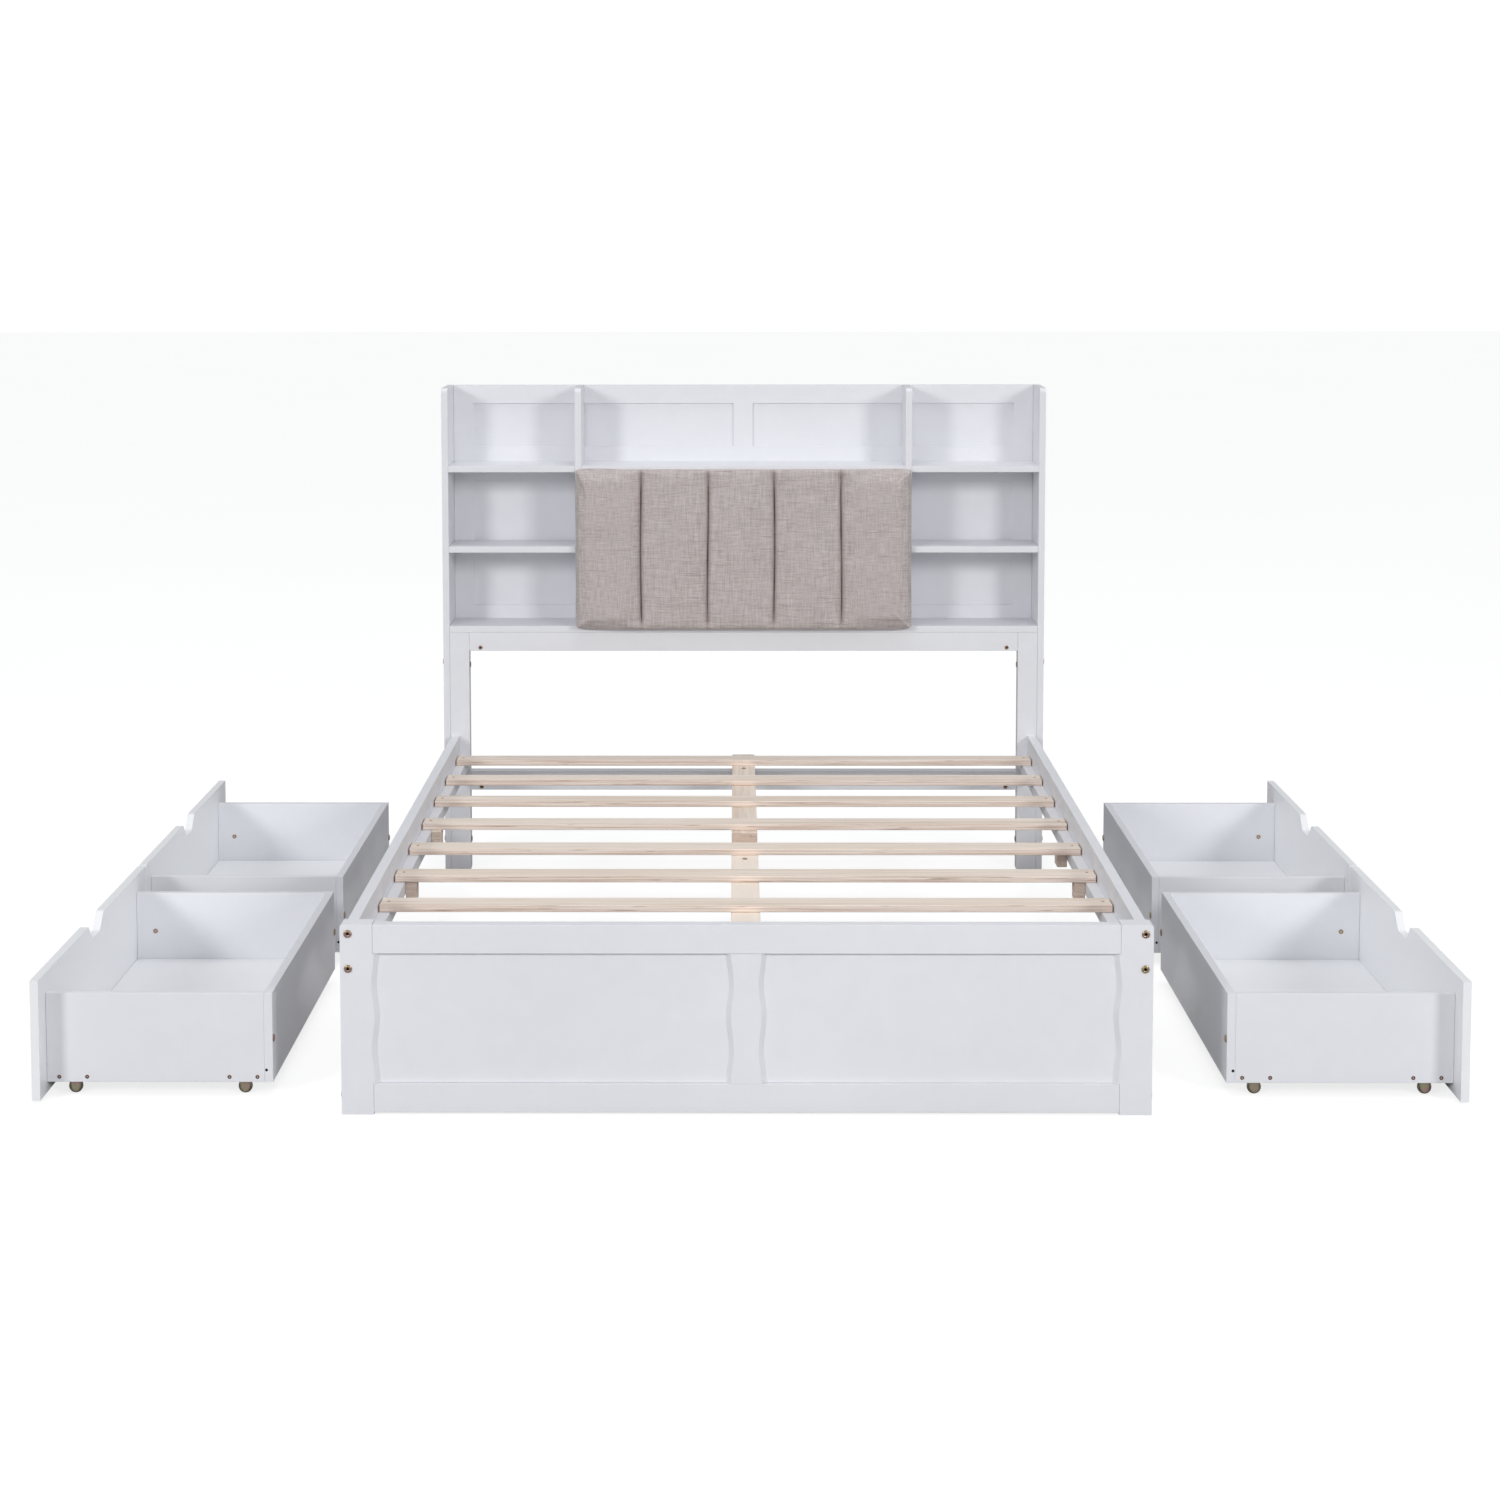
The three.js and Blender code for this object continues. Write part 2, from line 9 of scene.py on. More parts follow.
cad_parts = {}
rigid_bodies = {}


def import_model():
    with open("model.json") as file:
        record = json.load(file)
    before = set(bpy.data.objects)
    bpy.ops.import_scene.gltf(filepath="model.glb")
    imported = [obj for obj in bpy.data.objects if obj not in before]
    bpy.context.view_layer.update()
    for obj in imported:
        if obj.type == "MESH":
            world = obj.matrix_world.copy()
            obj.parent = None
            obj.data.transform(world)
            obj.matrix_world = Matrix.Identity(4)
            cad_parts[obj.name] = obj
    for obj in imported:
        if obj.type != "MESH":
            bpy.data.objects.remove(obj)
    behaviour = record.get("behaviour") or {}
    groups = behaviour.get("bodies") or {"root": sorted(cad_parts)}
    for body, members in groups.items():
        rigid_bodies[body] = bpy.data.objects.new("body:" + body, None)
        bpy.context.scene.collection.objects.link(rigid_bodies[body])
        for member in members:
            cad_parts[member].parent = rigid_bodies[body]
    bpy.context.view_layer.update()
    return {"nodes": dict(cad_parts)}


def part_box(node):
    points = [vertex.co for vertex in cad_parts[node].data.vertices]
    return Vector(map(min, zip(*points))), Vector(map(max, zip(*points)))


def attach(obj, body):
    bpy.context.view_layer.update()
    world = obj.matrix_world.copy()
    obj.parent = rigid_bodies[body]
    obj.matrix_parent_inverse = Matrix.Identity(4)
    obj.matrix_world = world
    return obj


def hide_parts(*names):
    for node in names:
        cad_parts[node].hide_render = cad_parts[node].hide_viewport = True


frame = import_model()

SIDES = {"left": -1, "right": 1}
ROWS = ("foot", "head")
MM = 0.001
FIT = 0.3 * MM  # clearance between pieces that touch
FOOT_FACE_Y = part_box("foot_rail_top")[0].y  # the footboard's front face

FLOOR_GLOW, FLOOR_BOUNCE = 0.78, 0.45  # what the camera sees of the floor, and what it sends back up
HORIZON_LIGHT, ZENITH_LIGHT, FULL_LIGHT_HEIGHT = 0.36, 0.50, 0.75
BACKDROP_WHITE = 1.05
KEY_POWER, OVERHEAD_POWER, FILL_POWER = 240, 66, 32  # watts

PAD_SEAMS = [-245.5 * MM, -85.2 * MM, 73.7 * MM, 234.5 * MM]
SEAM_WAVE = 1.3 * MM, 13.0, 9.0  # how far the seams wander, and how fast up and across


# ---------------------------------------------------------------- camera
# The camera looks along +Y from beyond the foot end, a little downwards, with a rising front.
CAMERA_PLACE = Vector((-0.0178, -5.9448, 1.5323))
CAMERA_YAW, CAMERA_PITCH, CAMERA_ROLL = -0.0067, 0.0886, -0.0010
FOCAL_LENGTH, SENSOR = 68.64, 36.0
SHIFT_X, SHIFT_Y = 0.0221, -0.1735


def make_camera():
    data = bpy.data.cameras.new("camera")
    data.lens, data.sensor_width, data.sensor_fit = FOCAL_LENGTH, SENSOR, "HORIZONTAL"
    data.shift_x, data.shift_y = SHIFT_X, SHIFT_Y
    data.clip_start, data.clip_end = 0.1, 200
    yaw, pitch, roll = CAMERA_YAW, CAMERA_PITCH, CAMERA_ROLL
    ahead = Vector((math.sin(yaw) * math.cos(pitch), math.cos(yaw) * math.cos(pitch), -math.sin(pitch)))
    right = Vector((math.cos(yaw), -math.sin(yaw), 0))
    up = right.cross(ahead)
    right, up = (
        right * math.cos(roll) + up * math.sin(roll),
        up * math.cos(roll) - right * math.sin(roll),
    )
    camera = bpy.data.objects.new("camera", data)
    bpy.context.scene.collection.objects.link(camera)
    turn = Matrix((right, up, -ahead)).transposed().to_4x4()
    camera.matrix_world = Matrix.Translation(CAMERA_PLACE) @ turn
    bpy.context.scene.camera = camera


# ---------------------------------------------------------------- materials
def srgb(red, green, blue):
    """Linear colour of an 8-bit sRGB one."""
    def linear(value):
        value /= 255
        return value / 12.92 if value <= 0.04045 else ((value + 0.055) / 1.055) ** 2.4
    return (linear(red), linear(green), linear(blue), 1.0)


class Graph:
    """One material's nodes, added and linked in one call each."""

    def __init__(self, name):
        self.material = bpy.data.materials.new(name)
        self.material.use_nodes = True
        self.tree = self.material.node_tree
        self.tree.nodes.clear()
        output = self.tree.nodes.new("ShaderNodeOutputMaterial")
        self.shader = self.tree.nodes.new("ShaderNodeBsdfPrincipled")
        self.tree.links.new(self.shader.outputs[0], output.inputs[0])
        self.place = self.add("ShaderNodeTexCoord").outputs["Object"]

    def add(self, kind, inputs=None, **properties):
        node = self.tree.nodes.new(kind)
        for key, value in properties.items():
            setattr(node, key, value)
        for key, value in (inputs or {}).items():
            self.put(node.inputs[key], value)
        return node

    def put(self, socket, value):
        if isinstance(value, bpy.types.NodeSocket):
            self.tree.links.new(value, socket)
        else:
            socket.default_value = value

    def set(self, **inputs):
        for key, value in inputs.items():
            self.put(self.shader.inputs[key.replace("_", " ")], value)

    def stretched(self, scale, offset=(0, 0, 0)):
        inputs = {"Vector": self.place, "Scale": scale, "Location": offset}
        return self.add("ShaderNodeMapping", inputs).outputs[0]

    def noise(self, vector, scale=1.0, detail=2.0, rough=0.5, distortion=0.0):
        inputs = {
            "Vector": vector, "Scale": scale, "Detail": detail, "Roughness": rough,
            "Distortion": distortion}
        return self.add("ShaderNodeTexNoise", inputs).outputs[0]

    def threads(self, bands_direction):
        """Fine parallel bands with uneven edges, as the threads of a weave in one direction."""
        node = self.add("ShaderNodeTexWave", {
            "Vector": self.place, "Scale": 250.0, "Distortion": 1.5, "Detail": 2.0},
            bands_direction=bands_direction)
        return node.outputs[1]

    def ramp(self, value, *stops):
        node = self.add("ShaderNodeValToRGB", {"Fac": value})
        elements = node.color_ramp.elements
        while len(elements) < len(stops):
            elements.new(0.5)
        for element, (position, colour) in zip(elements, stops):
            element.position = position
            element.color = colour if hasattr(colour, "__len__") else (colour, colour, colour, 1)
        return node.outputs[0]

    def mix(self, factor, low, high, blend="MIX"):
        node = self.add("ShaderNodeMix", data_type="RGBA", blend_type=blend)
        for index, value in ((0, factor), (6, low), (7, high)):
            self.put(node.inputs[index], value)
        return node.outputs[2]

    def maths(self, operation, first, second=0.0, third=0.0):
        node = self.add("ShaderNodeMath", operation=operation)
        for index, value in enumerate((first, second, third)):
            self.put(node.inputs[index], value)
        return node.outputs[0]

    def range(self, value, low, high, to_low, to_high):
        node = self.add("ShaderNodeMapRange", {
            "Value": value, "From Min": low, "From Max": high, "To Min": to_low, "To Max": to_high})
        return node.outputs[0]

    def bump(self, height, strength, distance, normal=None):
        inputs = {"Height": height, "Strength": strength, "Distance": distance}
        if normal is not None:
            inputs["Normal"] = normal
        return self.add("ShaderNodeBump", inputs).outputs[0]


def paint_material(name, dark, light):
    """Satin white paint sprayed on smooth board: slow drift of tone, and fine orange peel."""
    g = Graph(name)
    drift = g.noise(g.place, scale=1.7, detail=3)
    mottle = g.noise(g.place, scale=26, detail=4, rough=0.6)
    tone = g.maths("ADD", g.maths("MULTIPLY", drift, 0.7), g.maths("MULTIPLY", mottle, 0.3))
    g.set(Base_Color=g.ramp(tone, (0.3, dark), (0.7, light)))
    g.set(Roughness=g.range(mottle, 0.3, 0.7, 0.36, 0.46), Specular_IOR_Level=0.42)
    peel = g.noise(g.place, scale=420, detail=2)
    wave = g.noise(g.place, scale=38, detail=2)
    skin = g.bump(wave, 0.10, 0.0012)
    g.set(Normal=g.bump(peel, 0.10, 0.00025, skin))
    return g.material


def linen_material():
    """Greige linen-look weave: fine speckle, sparse dark slubs, and a painted shadow line along each seam
    with a softer painted shade beside it.
    """
    g = Graph("linen")
    warp = g.noise(g.stretched((430, 60, 26)), detail=3, rough=0.7)
    weft = g.noise(g.stretched((34, 60, 400), (3.1, 0, 7.7)), detail=3, rough=0.7)
    speck = g.noise(g.place, scale=620, detail=2)
    long_warp = g.noise(g.stretched((300, 40, 12), (11, 2, 5)), detail=2)
    long_weft = g.noise(g.stretched((7, 40, 330), (1, 9, 4)), detail=2, distortion=0.3)
    slub_warp = g.ramp(long_warp, (0.64, 0.0), (0.74, 1.0))
    slub_weft = g.ramp(long_weft, (0.63, 0.0), (0.71, 1.0))
    cloud = g.noise(g.place, scale=14, detail=3)
    threads = g.maths("MULTIPLY", g.maths("ADD", warp, weft), 0.42)
    yarns = g.maths("ADD", threads, g.maths("MULTIPLY", speck, 0.16))
    colour = g.ramp(
        yarns, (0.38, srgb(170, 160, 157)), (0.5, srgb(197, 187, 185)), (0.62, srgb(214, 206, 204)))
    colour = g.mix(g.maths("MULTIPLY", slub_warp, 0.22), colour, srgb(150, 138, 135))
    colour = g.mix(g.maths("MULTIPLY", slub_weft, 0.50), colour, srgb(136, 122, 119))
    colour = g.mix(g.range(cloud, 0.3, 0.7, 0.0, 0.18), colour, srgb(180, 171, 170))
    place = g.add("ShaderNodeSeparateXYZ", {"Vector": g.place}).outputs
    reach, up, along = SEAM_WAVE
    turn = g.maths("ADD", g.maths("MULTIPLY", place["Z"], up), g.maths("MULTIPLY", place["X"], along))
    bend = g.maths("MULTIPLY", g.maths("SINE", turn), reach)
    across_pad = g.maths("ADD", place["X"], bend)
    gap = None
    for seam in PAD_SEAMS:
        distance = g.maths("ABSOLUTE", g.maths("SUBTRACT", across_pad, seam))
        gap = distance if gap is None else g.maths("MINIMUM", gap, distance)
    low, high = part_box("headboard_pad")
    above, below = g.maths("SUBTRACT", place["Z"], low.z), g.maths("SUBTRACT", high.z, place["Z"])
    # Painted shadow along the seams: a dark line in each seam that fades out towards the pad's top and
    # bottom, where the seams end.
    seam_shadow_fade = g.range(g.maths("MINIMUM", above, below), 8 * MM, 55 * MM, 0.15, 1.0)
    centimetres = g.maths("MULTIPLY", gap, 100)
    line = g.ramp(centimetres, (0.07, 0.72), (0.30, 0.0))
    # Painted shade: a softer, warm darker band on either side of each seam, where the cloth folds into it.
    seam_side_shade = g.ramp(centimetres, (0.15, 0.22), (1.1, 0.0))
    colour = g.mix(seam_side_shade, colour, srgb(150, 124, 116))
    colour = g.mix(g.maths("MULTIPLY", line, seam_shadow_fade), colour, srgb(66, 50, 46))
    g.set(Base_Color=colour, Roughness=0.93, Specular_IOR_Level=0.2)
    g.set(Sheen_Weight=0.2, Sheen_Roughness=0.5)
    relief = g.bump(g.maths("MULTIPLY", g.threads("X"), g.threads("Z")), 0.5, 0.0004)
    thickness = g.maths("ADD", yarns, g.maths("MULTIPLY", slub_weft, 0.4))
    g.set(Normal=g.bump(thickness, 0.45, 0.0005, relief))
    return g.material


def pine_material(name, along, seed, pale=0.0):
    """Bare pale plywood with its grain along X or Y; edges and ends show the plies."""
    g = Graph(name)
    offset = (seed * 3.17, seed * 1.93, seed * 0.71)

    def grain(length, width, depth=None):
        depth = width if depth is None else depth
        scale = (length, width, depth) if along == "X" else (width, length, depth)
        return g.stretched(scale, offset)

    figure = g.noise(grain(0.9, 17), detail=3, rough=0.55, distortion=0.6)
    lines = g.noise(grain(2.6, 130), detail=4, rough=0.65, distortion=0.25)
    pores = g.noise(grain(9, 300), detail=3)
    cast = g.noise(grain(0.5, 2.5), detail=1)
    colour = g.ramp(
        g.maths("ADD", g.maths("MULTIPLY", figure, 0.5), g.maths("MULTIPLY", lines, 0.5)),
        (0.38, srgb(208, 187, 168)), (0.49, srgb(235, 221, 208)), (0.60, srgb(247, 237, 228)))
    colour = g.mix(g.range(cast, 0.35, 0.65, 0.0, 0.5), colour, srgb(236, 221, 206))
    colour = g.mix(g.ramp(pores, (0.58, 0.0), (0.72, 0.5)), colour, srgb(190, 162, 138))
    normal = g.add("ShaderNodeSeparateXYZ", {"Vector": g.add("ShaderNodeTexCoord").outputs["Normal"]})
    facing = {axis: g.maths("ABSOLUTE", normal.outputs[axis]) for axis in "XYZ"}
    edge_axis, end_axis = ("Y", "X") if along == "X" else ("X", "Y")
    edge = g.ramp(facing[edge_axis], (0.55, 0.0), (0.8, 1.0))
    end = g.ramp(facing[end_axis], (0.55, 0.0), (0.8, 1.0))
    plies = g.noise(grain(3.5, 30, 420), detail=3, rough=0.6)
    knots = g.noise(grain(11, 60, 330), detail=2)
    ply_colour = g.ramp(
        plies, (0.36, srgb(198, 168, 148)), (0.5, srgb(232, 212, 200)), (0.62, srgb(245, 232, 220)))
    ply_colour = g.mix(g.ramp(knots, (0.63, 0.0), (0.72, 0.8)), ply_colour, srgb(118, 86, 62))
    colour = g.mix(edge, colour, ply_colour)
    colour = g.mix(end, colour, g.mix(0.5, ply_colour, srgb(160, 124, 96)))
    colour = g.mix(pale, colour, srgb(255, 242, 230))
    g.set(Base_Color=colour, Roughness=g.range(lines, 0.3, 0.7, 0.55, 0.72), Specular_IOR_Level=0.3)
    relief = g.bump(lines, 0.25, 0.0005)
    g.set(Normal=g.bump(pores, 0.3, 0.00025, relief))
    return g.material


def plated_material(name, gold, pink, rough):
    """Steel with a passivated yellow zinc coat, whose tint drifts from olive gold to pink."""
    g = Graph(name)
    drift = g.noise(g.place, scale=34, detail=2, distortion=0.8)
    fine = g.noise(g.place, scale=600, detail=3)
    colour = g.ramp(drift, (0.4, gold), (0.6, pink))
    colour = g.mix(g.ramp(fine, (0.5, 0.0), (0.75, 0.5)), colour, srgb(62, 52, 42))
    g.set(Base_Color=colour, Metallic=0.85, Roughness=g.range(fine, 0.3, 0.7, rough - 0.08, rough + 0.08))
    g.set(Normal=g.bump(fine, 0.15, 0.0002))
    return g.material


def hole_shade_material(name, colour, rough, scale):
    """Dull near-black painted shade with a fine grain, for the inside of open holes, where only shadow
    falls.
    """
    g = Graph(name)
    fine = g.noise(g.place, scale=scale, detail=3)
    g.set(Base_Color=g.mix(fine, colour, tuple(c * 1.8 for c in colour[:3]) + (1,)))
    g.set(Roughness=g.range(fine, 0.3, 0.7, rough - 0.06, rough + 0.06))
    g.set(Normal=g.bump(fine, 0.2, 0.0002))
    return g.material


def floor_material():
    """Pale floor. It sends less light back up than it shows, as the cloth round a studio set does."""
    g = Graph("studio_floor")
    tree = g.tree
    cloud = g.noise(g.place, scale=0.6, detail=2)
    g.set(Base_Color=g.ramp(cloud, (0.3, srgb(160, 160, 160)), (0.7, srgb(163, 163, 163))), Roughness=0.9)
    g.set(Specular_IOR_Level=0.1, Emission_Color=(1, 1, 1, 1), Emission_Strength=FLOOR_GLOW)
    bounce = g.add("ShaderNodeBsdfDiffuse", {"Color": (FLOOR_BOUNCE,) * 3 + (1,)}).outputs[0]
    seen = g.add("ShaderNodeLightPath").outputs["Is Camera Ray"]
    blend = g.add("ShaderNodeMixShader", {0: seen, 1: bounce, 2: g.shader.outputs[0]})
    output = next(n for n in tree.nodes if n.type == "OUTPUT_MATERIAL")
    tree.links.new(blend.outputs[0], output.inputs[0])
    return g.material


PAINT = paint_material("white_paint", srgb(231, 231, 236), srgb(237, 238, 242))
# A lighter copy of the white paint; on the drawer fronts it is painted light.
BRIGHT_PAINT = paint_material("white_sheet", srgb(242, 243, 246), srgb(247, 248, 250))
LINEN = linen_material()
BOLT = plated_material("plated_bolt", srgb(180, 160, 126), srgb(178, 146, 134), 0.32)
SCREW = plated_material("plated_screw", srgb(128, 100, 82), srgb(130, 88, 78), 0.36)
CASTOR = plated_material("plated_castor", srgb(188, 188, 152), srgb(204, 172, 164), 0.36)
WHEEL = plated_material("castor_wheel", srgb(142, 146, 122), srgb(140, 132, 116), 0.42)
# Painted shade: near-black for the walls of the drilled holes, which are dark only from shadow.
HOLE_SHADE = hole_shade_material("painted_hole_shade", (0.012, 0.010, 0.009, 1), 0.7, 800)


# ---------------------------------------------------------------- mesh helpers
def place(name, mesh, material, body, slot, matrix=None):
    piece = bpy.data.objects.new(name, mesh)
    bpy.context.scene.collection.objects.link(piece)
    if material.name not in [m.name for m in mesh.materials if m]:
        mesh.materials.append(material)
    if matrix is not None:
        piece.matrix_world = matrix
    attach(piece, body)
    return piece


def finish_mesh(bm, name):
    mesh = bpy.data.meshes.new(name)
    bmesh.ops.recalc_face_normals(bm, faces=bm.faces)
    bm.to_mesh(mesh)
    bm.free()
    smooth_shade(mesh)
    return mesh


def smooth_shade(mesh):
    for polygon in mesh.polygons:
        polygon.use_smooth = True


def ease_edges(piece, width, segments=2, angle=38):
    """Rounds the arrises with modifiers, so that the mesh underneath stays as it is."""
    weld = piece.modifiers.new("weld", "WELD")
    weld.merge_threshold = 1e-5
    bevel = piece.modifiers.new("bevel", "BEVEL")
    bevel.width, bevel.segments = width, segments
    bevel.limit_method, bevel.angle_limit = "ANGLE", math.radians(angle)
    bevel.use_clamp_overlap, bevel.miter_outer = True, "MITER_ARC"
    bevel.harden_normals = False
    normals = piece.modifiers.new("normals", "WEIGHTED_NORMAL")
    normals.keep_sharp = True
    smooth_shade(piece.data)


def box_bmesh(low, high):
    """Box between two opposite corners, for bevels to work on."""
    bm = bmesh.new()
    bmesh.ops.create_cube(bm, size=1)
    low, high = Vector(low), Vector(high)
    size, centre = high - low, (low + high) / 2
    for vertex in bm.verts:
        vertex.co = Vector(c * s for c, s in zip(vertex.co, size)) + centre
    return bm


def ring_stack(bm, rings, segments, close_start=False, close_end=True):
    """Joins rings about local +Z, each given as a radius (or a function of angle) and a height."""
    loops = []
    for radius, height in rings:
        loop = []
        for i in range(segments):
            angle = 2 * math.pi * i / segments
            r = radius(angle) if callable(radius) else radius
            loop.append(bm.verts.new((r * math.cos(angle), r * math.sin(angle), height)))
        loops.append(loop)
    for lower, upper in zip(loops, loops[1:]):
        for i in range(segments):
            j = (i + 1) % segments
            bm.faces.new((lower[i], lower[j], upper[j], upper[i]))
    if close_start:
        bm.faces.new(list(reversed(loops[0])))
    if close_end:
        bm.faces.new(loops[-1])
    return loops


def hexagon(across_flats):
    """Radius as a function of angle, for a ring with six flats."""
    def radius(angle):
        return across_flats / 2 / math.cos((angle + math.pi / 6) % (math.pi / 3) - math.pi / 6)
    return radius


def cross(long, short):
    """Radius as a function of angle, for a cross-shaped ring with four arms."""
    def radius(angle):
        return long if (angle + math.pi / 8) % (math.pi / 2) < math.pi / 4 else short
    return radius


def bolt_head(diameter, height, socket):
    """Flanged, slightly domed head with a hexagon socket; its seat is at z = 0."""
    bm = bmesh.new()
    r = diameter / 2
    ring_stack(bm, [
        (r, 0), (r, height * 0.45), (r * 0.95, height * 0.72), (r * 0.82, height * 0.92),
        (r * 0.62, height), (hexagon(socket + 0.6 * MM), height), (hexagon(socket), height - 0.4 * MM),
        (hexagon(socket), -height * 0.2)], 36, close_start=True)
    return finish_mesh(bm, "bolt_head")


def screw_head(diameter):
    """Countersunk cross-head screw; its rim stands a little proud of z = 0."""
    bm = bmesh.new()
    r = diameter / 2
    ring_stack(bm, [
        (r, -0.6 * MM), (r, 0.2 * MM), (r * 0.9, 0.5 * MM), (r * 0.62, 0.6 * MM),
        (cross(r * 0.5, r * 0.17), 0.5 * MM), (cross(r * 0.36, r * 0.12), -0.5 * MM)],
        32, close_start=True)
    return finish_mesh(bm, "screw_head")


def frame_at(point, facing):
    """Matrix that puts local z = 0 at a point, with local +Z along facing."""
    return Matrix.Translation(Vector(point)) @ Vector(facing).to_track_quat("Z", "Y").to_matrix().to_4x4()


def joined(name, items):
    """One mesh of several (mesh, matrix) copies."""
    bm = bmesh.new()
    for mesh, matrix in items:
        part = mesh.copy()
        part.transform(matrix)
        bm.from_mesh(part)
        bpy.data.meshes.remove(part)
    return finish_mesh(bm, name)


def fasteners(name, head, spots, body, material=BOLT):
    """One piece of equal heads; each spot is the point that a head sits on and the way that it faces."""
    mesh = joined(name, [(head, frame_at(point, facing)) for point, facing in spots])
    place(name, mesh, material, body, "castor_metal")


# ---------------------------------------------------------------- CAD nodes that keep their shape
PAINT_EDGE, FINE_EDGE = 0.8 * MM, 0.6 * MM
WOOD_EDGE, SHEET_EDGE = 1.6 * MM, 1.6 * MM

PAINTED = [
    "shelf_top", "shelf_bottom", "back_panel", "apron", "head_rail", "foot_stile",
    "foot_rail_top", "foot_rail_bottom", "foot_panel",
] + [
    f"{stem}_{side}" for side in SIDES
    for stem in ("side_panel", "head_post", "divider", "shelf_mid", "foot_post")
]
DRAWERS = [(f"drawer_{side}_{row}", side, row) for side in SIDES for row in ROWS]


def dress(node, material, edge):
    """Gives a CAD mesh its material and eased edges."""
    piece = frame["nodes"][node]
    piece.data.materials.clear()
    piece.data.materials.append(material)
    ease_edges(piece, edge)


for node in PAINTED:
    dress(node, PAINT, FINE_EDGE if node in ("foot_stile", "back_panel") else PAINT_EDGE)
for name, _, _ in DRAWERS:
    # The drawer fronts take the lighter copy of the white paint: painted light that lifts them above the
    # rest of the paint.
    dress(f"{name}_front", BRIGHT_PAINT, PAINT_EDGE)
    dress(f"{name}_bottom", BRIGHT_PAINT, SHEET_EDGE)
for number in range(1, 8):
    dress(f"slat_{number}", pine_material(f"pine_slat_{number}", "X", number, 0.2), WOOD_EDGE)
# The front beam's pine is mixed far paler (0.85) than the rear beam's (0.2): painted light that lifts the
# front beam.
dress("centre_beam_front", pine_material("pine_beam_front", "Y", 9, 0.85), WOOD_EDGE)
dress("centre_beam_rear", pine_material("pine_beam_rear", "Y", 10, 0.2), WOOD_EDGE)
dress("centre_leg", pine_material("pine_leg", "Y", 11), WOOD_EDGE)


# ---------------------------------------------------------------- side rails
LEDGER_WIDTH, LEDGER_THICKNESS = 22 * MM, 26 * MM
RAIL_THICKNESS = 20 * MM
GLUE_LINE = 0.2 * MM
BLOCK_HEIGHT, BLOCK_LENGTH = 40 * MM, 44 * MM
BLOCK_STARTS = {"left": (608 * MM, 1080 * MM), "right": (608 * MM, 915 * MM)}
BLOCK_WOOD = pine_material("pine_block", "Y", 12, 0.35)


def board(name, low, high, body, replaced, material=PAINT, edge=PAINT_EDGE, slot="white_paint"):
    """Board between two opposite corners, with eased edges, that stands for part of a CAD node."""
    piece = place(name, finish_mesh(box_bmesh(low, high), name), material, body, slot)
    ease_edges(piece, edge)
    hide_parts(replaced)
    return piece


def across(side, near, far, low, high):
    """Opposite corners of a box between two distances from the centre line, on one side of it."""
    xs = sorted((SIDES[side] * near, SIDES[side] * far))
    return (xs[0], *low), (xs[1], *high)


for side in SIDES:
    node = f"side_rail_{side}"
    low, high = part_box(node)
    outer = max(abs(low.x), abs(high.x))
    inner = outer - RAIL_THICKNESS
    ledger_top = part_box("slat_1")[0].z - FIT
    board(f"{node}_board", *across(side, inner, outer, low[1:], high[1:]), "bed_frame", node)
    board(
        f"{node}_ledger",
        *across(
            side, inner - LEDGER_WIDTH, inner - GLUE_LINE,
            (low.y, ledger_top - LEDGER_THICKNESS), (high.y, ledger_top)),
        "bed_frame", node)
    block_inner = min(abs(low.x), abs(high.x))
    for number, start in enumerate(BLOCK_STARTS[side], 1):
        y = FOOT_FACE_Y + start
        corners = across(
            side, block_inner, inner - LEDGER_WIDTH - GLUE_LINE,
            (y, ledger_top - BLOCK_HEIGHT), (y + BLOCK_LENGTH, ledger_top))
        board(
            f"{node}_block_{number}", *corners, "bed_frame", node, BLOCK_WOOD, WOOD_EDGE, "natural_pine")


# ---------------------------------------------------------------- drawers
BOARD = 15 * MM
BOX_BOTTOM = 25 * MM
HOLE_DIAMETER, HOLE_DEPTH, HOLE_Z, HOLE_SETBACK = 5 * MM, 12 * MM, 47 * MM, 11.5 * MM
WHEEL_RADIUS = 12.5 * MM
FORK_DEPTH = 13.2 * MM
SHEET = 1.5 * MM
SCREW_Z, SCREW_SPREAD = 34.5 * MM, 25 * MM
BACK_BOLT_Z = 104 * MM
CAM_Z, CAM_SETBACK = 108 * MM, 38 * MM

BOLT_HEAD = bolt_head(14 * MM, 2.6 * MM, 5 * MM)
SMALL_BOLT_HEAD = bolt_head(10 * MM, 2 * MM, 4 * MM)
SCREW_HEAD = screw_head(7.4 * MM)


def drill(piece, spots, diameter, depth):
    """Cuts blind holes whose walls carry painted shade; each spot is a point on the surface and the way out
    of it.
    """
    for point, out in spots:
        bm = bmesh.new()
        ring_stack(bm, [(diameter / 2, -depth), (diameter / 2, 1 * MM)], 20, close_start=True)
        mesh = finish_mesh(bm, "drill")
        # The cutter's faces carry the painted hole shade into the board.
        mesh.materials.append(HOLE_SHADE)
        cutter = bpy.data.objects.new("drill", mesh)
        cutter.matrix_world = frame_at(point, out)
        bpy.context.scene.collection.objects.link(cutter)
        cut = piece.modifiers.new("drill", "BOOLEAN")
        cut.operation, cut.object, cut.solver, cut.material_mode = "DIFFERENCE", cutter, "EXACT", "TRANSFER"
        bpy.context.view_layer.update()
        evaluated = piece.evaluated_get(bpy.context.evaluated_depsgraph_get())
        mesh = bpy.data.meshes.new_from_object(evaluated)
        piece.modifiers.clear()
        piece.data = mesh
        bpy.data.objects.remove(cutter)


